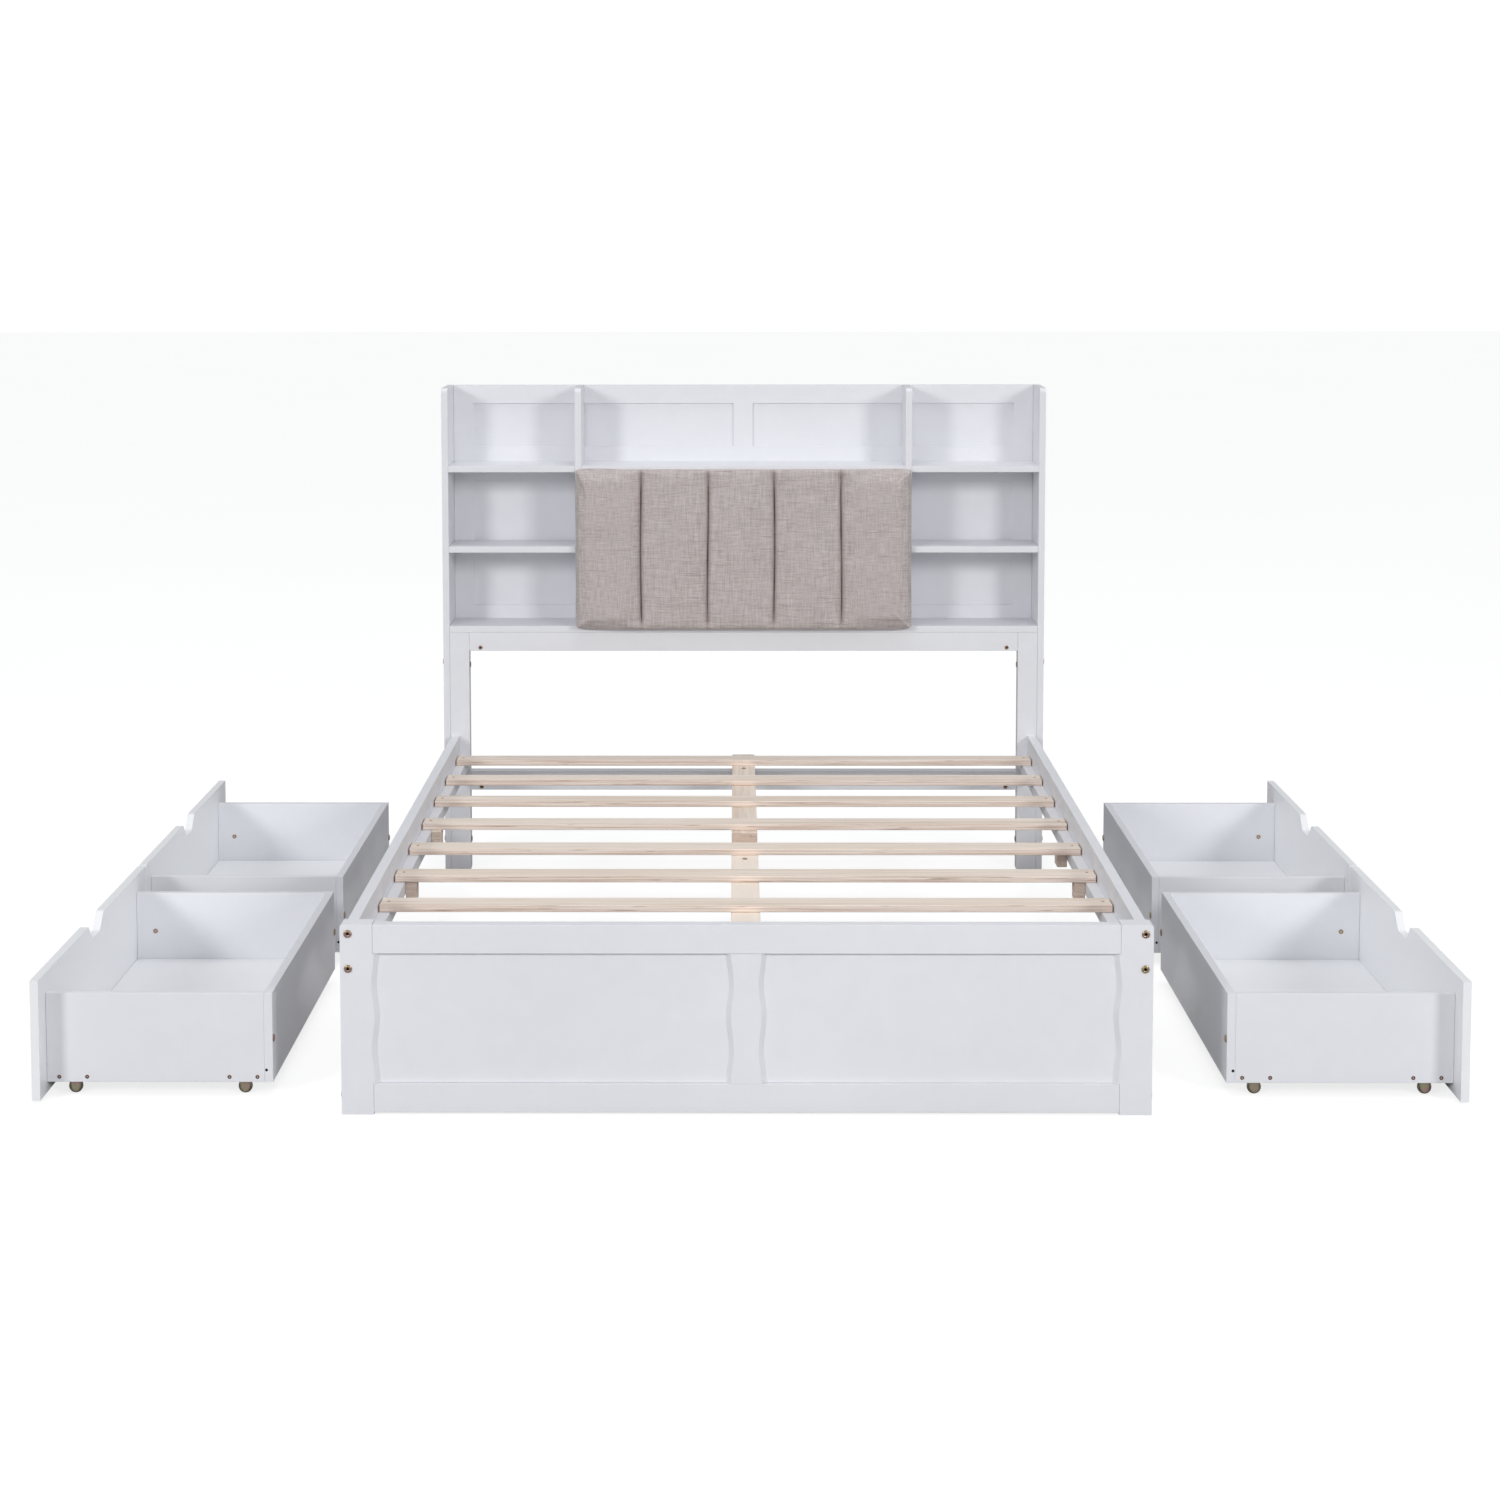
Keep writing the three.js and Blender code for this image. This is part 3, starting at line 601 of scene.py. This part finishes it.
def cam_nut():
    """Round cam nut with a slot, set flush in a board."""
    bm = bmesh.new()
    ring_stack(bm, [
        (5 * MM, -0.5 * MM), (5 * MM, 0.5 * MM), (4.4 * MM, 0.8 * MM), (2.6 * MM, 0.8 * MM),
        (cross(2.2 * MM, 0.8 * MM), 0.7 * MM), (cross(1.6 * MM, 0.6 * MM), -0.3 * MM)],
        32, close_start=True)
    return finish_mesh(bm, "cam_nut")


def fork_mesh():
    """Castor fork: one strip of sheet bent into an inverted U, and the plate that screws to the board.
    The board's face is at local y = 0, the floor at z = 0, and +Y points away from the board."""
    top, radius = 29.2 * MM, 9.4 * MM  # of the U, and of its cheeks about the axle
    cheek = [(top - 1.6 * MM, 13.6 * MM), (26 * MM, 12.2 * MM), (22.5 * MM, 10.8 * MM), (18 * MM, 9.9 * MM)]
    cheek += [
        (WHEEL_RADIUS - radius * math.sin(math.radians(a)), radius * math.cos(math.radians(a)))
        for a in range(0, 91, 9)]
    cheek[-1] = (cheek[-1][0], 0.7 * MM)
    near, far = SHEET / 2, FORK_DEPTH - SHEET / 2
    bend = 1.6 * MM
    strip = [(near, z, w) for z, w in reversed(cheek)]
    strip += [
        (near + bend * (1 - math.cos(a)), top - bend + bend * math.sin(a), 14 * MM)
        for a in (math.pi / 6, math.pi / 3, math.pi / 2)]
    strip += [(FORK_DEPTH - y, z, w) for y, z, w in reversed(strip)]
    bm = bmesh.new()
    rows = [[bm.verts.new((x * w, y, z)) for x in (-1, -0.5, 0, 0.5, 1)] for y, z, w in strip]
    for one, two in zip(rows, rows[1:]):
        for i in range(4):
            bm.faces.new((one[i], one[i + 1], two[i + 1], two[i]))
    plate = [(-31, 29.6), (31, 29.6), (31, 39), (28, 42), (-28, 42), (-31, 39)]
    bm.faces.new([bm.verts.new((x * MM, near, z * MM)) for x, z in plate])
    bmesh.ops.recalc_face_normals(bm, faces=bm.faces)
    bmesh.ops.solidify(bm, geom=bm.faces[:], thickness=SHEET)
    mesh = bpy.data.meshes.new("fork")
    bm.to_mesh(mesh)
    bm.free()
    mesh.transform(Matrix.Translation((0, -min(v.co.y for v in mesh.vertices), 0)))
    return mesh


def axle_mesh():
    """Rivet through a fork's cheeks, with a round head on the far one."""
    bm = bmesh.new()
    end = FORK_DEPTH
    ring_stack(bm, [
        (2.2 * MM, 0.4 * MM), (2.2 * MM, end), (3.6 * MM, end), (3.5 * MM, end + 0.5 * MM),
        (2.6 * MM, end + 1.0 * MM), (1.0 * MM, end + 1.2 * MM)], 20, close_start=True)
    mesh = finish_mesh(bm, "axle")
    turn = Matrix(((1, 0, 0), (0, 0, 1), (0, -1, 0))).to_4x4()
    mesh.transform(Matrix.Translation((0, 0, WHEEL_RADIUS)) @ turn)
    return mesh


def wheel_mesh():
    """Turned wheel about its own Y axis, with a hub, a sunk web and a rounded tread."""
    segments = 48
    profile = [  # radius and half width, in mm
        (2.6, 4.5), (4.6, 4.5), (5.0, 4.2), (5.4, 3.2), (8.6, 3.2), (9.0, 3.6), (9.4, 4.2), (10.6, 4.3),
        (11.6, 3.9), (12.2, 3.1), (12.5, 1.8)]
    rings = [(x * MM, y * MM) for x, y in profile]
    rings += [(x, -y) for x, y in reversed(rings)]
    bm = bmesh.new()
    loops = ring_stack(bm, [(x, -y) for x, y in rings], segments, close_end=False)
    for i in range(segments):
        j = (i + 1) % segments
        bm.faces.new((loops[-1][i], loops[-1][j], loops[0][j], loops[0][i]))
    mesh = finish_mesh(bm, "wheel")
    mesh.transform(Matrix.Rotation(math.pi / 2, 4, "X"))
    return mesh


FORK, AXLE, WHEEL_MESH, CAM_NUT = fork_mesh(), axle_mesh(), wheel_mesh(), cam_nut()

for name, side, row in DRAWERS:
    sign = SIDES[side]
    box_node = f"{name}_box"
    low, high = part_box(box_node)
    reach = sorted((abs(low.x), abs(high.x)))  # distances of the back board and the front end
    ends = (low.y, high.y)
    top = high.z
    back = board(
        f"{name}_back_board",
        *across(side, reach[0], reach[0] + BOARD, (ends[0], BOX_BOTTOM), (ends[1], top)), name, box_node)
    back.modifiers.clear()
    hole_x = sign * (reach[0] + HOLE_SETBACK)
    holes = [((hole_x, y, HOLE_Z), (0, way, 0)) for y, way in zip(ends, (-1, 1))]
    drill(back, holes, HOLE_DIAMETER, HOLE_DEPTH)
    ease_edges(back, PAINT_EDGE)
    walls = {"foot": (ends[0], ends[0] + BOARD, 1), "head": (ends[1] - BOARD, ends[1], -1)}
    for end, (start, stop, _) in walls.items():
        board(
            f"{name}_{end}_side_board",
            *across(side, reach[0] + BOARD + GLUE_LINE, reach[1], (start, BOX_BOTTOM), (stop, top)),
            name, box_node)

    screws, cams, forks, axles = [], [], [], []
    for end, (start, stop, inward) in walls.items():
        outer_face, inner_face = (start, stop) if inward > 0 else (stop, start)
        for which in ("outer", "inner"):
            wheel = f"{name}_wheel_{which}_{end}_side"
            wheel_low, wheel_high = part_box(wheel)
            centre = (wheel_low + wheel_high) / 2
            for offset in (-SCREW_SPREAD, SCREW_SPREAD):
                screws.append(((centre.x + offset, outer_face, SCREW_Z), (0, -inward, 0)))
            turn = Matrix.Rotation(0 if inward > 0 else math.pi, 4, "Z")
            spot = Matrix.Translation((centre.x, inner_face, 0)) @ turn
            forks.append((FORK, spot))
            axles.append((AXLE, spot))
            spin = Matrix.Translation(centre)
            roll = place(wheel + "_tread", WHEEL_MESH, WHEEL, wheel, "castor_metal", spin)
            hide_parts(wheel)
        cams.append(((sign * (reach[1] - CAM_SETBACK), inner_face, CAM_Z), (0, inward, 0)))
    fork = place(f"{name}_castor_forks", joined("forks", forks), CASTOR, name, "castor_metal")
    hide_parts(box_node)
    place(f"{name}_castor_axles", joined("axles", axles), BOLT, name, "castor_metal")
    fasteners(f"{name}_castor_screws", SCREW_HEAD, screws, name, SCREW)
    fasteners(f"{name}_cam_nuts", CAM_NUT, cams, name)
    bolts = [
        ((sign * reach[0], y + way * BOARD / 2, BACK_BOLT_Z), (-sign, 0, 0))
        for y, way in zip(ends, (1, -1))]
    fasteners(f"{name}_back_bolts", BOLT_HEAD, bolts, name)


# ---------------------------------------------------------------- bolts of the frame
def from_foot(y):
    """Y of a place that many mm behind the footboard's front face."""
    return FOOT_FACE_Y + y * MM


def mirrored(x, y, heights, facing):
    """Spots at these heights in mm on both halves of the bed; x and facing are those of the right."""
    return [
        ((sign * x, y, z * MM), (sign * facing[0], *facing[1:]))
        for sign in SIDES.values() for z in heights]


FORWARD, UP, OUTWARD, INWARD = (0, -1, 0), (0, 0, 1), (1, 0, 0), (-1, 0, 0)
SLAT_SCREW_X = 669 * MM
BEAM_BOLT_YS = 811, 1797
head_face_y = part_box("apron")[0].y
foot_side_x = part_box("foot_post_right")[1].x
head_side_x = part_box("side_panel_right")[1].x
head_post_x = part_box("head_post_right")[0].x
beam_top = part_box("centre_beam_rear")[1].z

for name, head, spots in (
    ("foot_post_bolts", BOLT_HEAD, mirrored(694.5 * MM, FOOT_FACE_Y, (322, 260), FORWARD)),
    ("foot_side_bolts", BOLT_HEAD, mirrored(foot_side_x, from_foot(19), (32,), OUTWARD)),
    ("head_side_bolts", BOLT_HEAD, mirrored(head_side_x, from_foot(1966), (507, 73), OUTWARD)),
    ("head_post_bolts", BOLT_HEAD, mirrored(head_post_x, from_foot(1967), (499, 72), INWARD)),
    ("apron_bolts", SMALL_BOLT_HEAD, mirrored(634.5 * MM, head_face_y, (543,), FORWARD)),
    ("head_rail_bolts", SMALL_BOLT_HEAD, mirrored(634 * MM, head_face_y, (203,), FORWARD)),
    ("beam_bolts", SMALL_BOLT_HEAD, [((0, from_foot(y), beam_top), UP) for y in BEAM_BOLT_YS]),
):
    fasteners(name, head, spots, "bed_frame")

slat_boxes = [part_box(f"slat_{number}") for number in range(1, 8)]
fasteners("slat_screws", screw_head(6 * MM), [
    ((sign * SLAT_SCREW_X, (low.y + high.y) / 2, high.z), UP)
    for sign in SIDES.values() for low, high in slat_boxes], "bed_frame")


# ---------------------------------------------------------------- head pad
PAD_VOXEL = 4.5 * MM
PAD_CAP = 7 * MM  # how far the cloth may move
PAD_INSET = 4 * MM
PAD_CORNER, PAD_ARRIS = 5 * MM, 9 * MM  # rounding of the upright corners, and of the front's edges
PRESS_DEPTH, PRESS_HALF_WIDTH, PRESS_FADE = 8 * MM, 30 * MM, 22 * MM  # channels before the cloth
SEAM_DEPTH, SEAM_HALF_WIDTH, SEAM_FADE = 15 * MM, 10 * MM, 14 * MM  # narrow seams after it
SAG_DEPTH, SAG_HEIGHT = 9 * MM, 26 * MM  # how the cover turns under along the bottom edge


def select_only(piece):
    for other in bpy.context.view_layer.objects:
        other.select_set(False)
    piece.select_set(True)
    bpy.context.view_layer.objects.active = piece


def apply_modifier(piece, modifier):
    select_only(piece)
    bpy.ops.object.modifier_apply(modifier=modifier.name)


def vertices_of(piece):
    points = np.zeros(len(piece.data.vertices) * 3, np.float64)
    piece.data.vertices.foreach_get("co", points)
    return points.reshape(-1, 3)


def put_vertices(piece, points):
    piece.data.vertices.foreach_set("co", points.ravel())
    piece.data.update()


def seam_valley(x, half_width):
    """1 on a seam, falling smoothly to 0 at half_width from it."""
    gap = np.min([np.abs(x - seam) for seam in PAD_SEAMS], axis=0)
    return np.clip(1 - gap / half_width, 0, 1)


def make_pad():
    """Padded cover: a rounded box blown up as cloth, then pulled in along the seams and the bottom."""
    low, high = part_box("headboard_pad")
    inset = Vector((PAD_INSET * 0.1, 0, PAD_INSET * 0.3))
    start, stop = low + inset, high - inset
    start.y += PAD_INSET
    bm = box_bmesh(start, stop)
    corners = [e for e in bm.edges if abs(e.verts[0].co.y - e.verts[1].co.y) > 1e-3]
    bmesh.ops.bevel(bm, geom=corners, offset=PAD_CORNER, segments=3, profile=0.6, affect="EDGES")
    front = [e for e in bm.edges if all(v.co.y < start.y + 1e-5 for v in e.verts)]
    bmesh.ops.bevel(bm, geom=front, offset=PAD_ARRIS, segments=4, profile=0.6, affect="EDGES")
    pad = place("headboard_pad_cover", finish_mesh(bm, "pad"), LINEN, "bed_frame", "linen")
    pad.parent = None
    remesh = pad.modifiers.new("remesh", "REMESH")
    remesh.mode, remesh.voxel_size, remesh.use_smooth_shade = "VOXEL", PAD_VOXEL, True
    apply_modifier(pad, remesh)

    rest = vertices_of(pad)
    depth = np.clip((stop.y - rest[:, 1]) / (stop.y - start.y), 0, 1)
    ends = np.clip(np.minimum(rest[:, 2] - low.z, high.z - rest[:, 2]) / PRESS_FADE, 0, 1)
    valley = seam_valley(rest[:, 0], PRESS_HALF_WIDTH) ** 1.5
    rest[:, 1] += valley * depth * ends * PRESS_DEPTH
    put_vertices(pad, rest)
    pin = pad.vertex_groups.new(name="pin")
    held = np.where((rest[:, 1] > stop.y - 4 * MM) | (seam_valley(rest[:, 0], 8 * MM) > 0.2))[0]
    pin.add([int(i) for i in held], 1.0, "REPLACE")
    cloth = pad.modifiers.new("cloth", "CLOTH")
    settings = cloth.settings
    settings.use_pressure, settings.uniform_pressure_force = True, 4.0
    settings.vertex_group_mass = "pin"
    settings.effector_weights.gravity = 0
    settings.mass, settings.quality = 0.3, 6
    settings.tension_stiffness = settings.compression_stiffness = 25
    settings.bending_stiffness = 1.2
    cloth.point_cache.frame_start, cloth.point_cache.frame_end = 1, 20
    scene = bpy.context.scene
    for number in range(1, 21):
        scene.frame_set(number)
    apply_modifier(pad, cloth)
    scene.frame_set(1)
    points = vertices_of(pad)
    move = points - rest
    length = np.linalg.norm(move, axis=1, keepdims=True)
    move *= np.minimum(1, PAD_CAP / np.maximum(length, 1e-9))
    put_vertices(pad, rest + move)
    pad.vertex_groups.clear()

    smooth = pad.modifiers.new("smooth", "SUBSURF")
    smooth.levels = smooth.render_levels = 1
    apply_modifier(pad, smooth)
    points = vertices_of(pad)
    depth = np.clip((stop.y - points[:, 1]) / (stop.y - start.y), 0, 1) ** 0.7
    from_ends = np.minimum(points[:, 2] - low.z - 8 * MM, high.z - 4 * MM - points[:, 2])
    ends = np.clip(from_ends / SEAM_FADE, 0, 1)
    reach, up, along = SEAM_WAVE
    bend = reach * np.sin(points[:, 2] * up + points[:, 0] * along)
    valley = seam_valley(points[:, 0] + bend, SEAM_HALF_WIDTH)
    points[:, 1] += SEAM_DEPTH * depth * (0.25 + 0.75 * ends) * (1 - np.sqrt(1 - valley ** 2 * 0.999))
    sag = np.clip(1 - (points[:, 2] - low.z) / SAG_HEIGHT, 0, 1)
    points[:, 1] += SAG_DEPTH * depth * (1 - np.sqrt(1 - sag ** 2 * 0.99))
    points[:, 0] = np.clip(points[:, 0], low.x - 4 * MM, high.x + 4 * MM)
    points[:, 1] = np.clip(points[:, 1], low.y - 6 * MM, high.y)
    points[:, 2] = np.clip(points[:, 2], low.z - 2 * MM, high.z + 2 * MM)
    put_vertices(pad, points)
    smooth_shade(pad.data)
    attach(pad, "bed_frame")
    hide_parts("headboard_pad")


make_pad()


# ---------------------------------------------------------------- floor and light
def make_floor():
    bm = bmesh.new()
    bmesh.ops.create_grid(bm, x_segments=8, y_segments=8, size=40)
    floor = bpy.data.objects.new("floor", finish_mesh(bm, "floor"))
    floor.data.materials.append(floor_material())
    floor.location.z = -0.0005
    bpy.context.scene.collection.objects.link(floor)


def make_softbox(name, position, target, width, height, power):
    """Area light; power in watts."""
    data = bpy.data.lights.new(name, "AREA")
    data.shape, data.size, data.size_y, data.energy = "RECTANGLE", width, height, power
    light = bpy.data.objects.new(name, data)
    light.location = position
    light.rotation_euler = (Vector(position) - Vector(target)).to_track_quat("Z", "Y").to_euler()
    bpy.context.scene.collection.objects.link(light)


def make_world():
    """White where the camera looks; as light, a bright ceiling that falls off towards the walls."""
    world = bpy.data.worlds.new("studio")
    bpy.context.scene.world = world
    world.use_nodes = True
    tree = world.node_tree
    nodes, links = tree.nodes, tree.links
    ambient = nodes["Background"]
    ambient.inputs["Color"].default_value = (0.96, 0.98, 1.0, 1)
    direction = nodes.new("ShaderNodeTexCoord")
    split = nodes.new("ShaderNodeSeparateXYZ")
    height = nodes.new("ShaderNodeMapRange")
    height.interpolation_type = "SMOOTHSTEP"
    for key, value in (
        ("From Min", 0.0), ("From Max", FULL_LIGHT_HEIGHT),
        ("To Min", HORIZON_LIGHT), ("To Max", ZENITH_LIGHT),
    ):
        height.inputs[key].default_value = value
    links.new(direction.outputs["Generated"], split.inputs[0])
    links.new(split.outputs["Z"], height.inputs["Value"])
    links.new(height.outputs[0], ambient.inputs["Strength"])
    seen = nodes.new("ShaderNodeBackground")
    seen.inputs["Color"].default_value = (1, 1, 1, 1)
    seen.inputs["Strength"].default_value = BACKDROP_WHITE
    path = nodes.new("ShaderNodeLightPath")
    blend = nodes.new("ShaderNodeMixShader")
    links.new(path.outputs["Is Camera Ray"], blend.inputs[0])
    links.new(ambient.outputs[0], blend.inputs[1])
    links.new(seen.outputs[0], blend.inputs[2])
    links.new(blend.outputs[0], nodes["World Output"].inputs[0])


make_floor()
make_world()
for side, sign in SIDES.items():
    make_softbox(f"softbox_{side}", (sign * 5.3, -7.3, 3.6), (0, 0, 0.5), 1.6, 1.8, KEY_POWER)
make_softbox("overhead", (0, 0, 6.0), (0, 0, 0), 3.0, 3.0, OVERHEAD_POWER)
make_softbox("front_fill", (0, -9.5, 2.2), (0, 0, 0.6), 3.0, 2.4, FILL_POWER)
make_camera()
bpy.context.scene.view_settings.view_transform = "Standard"
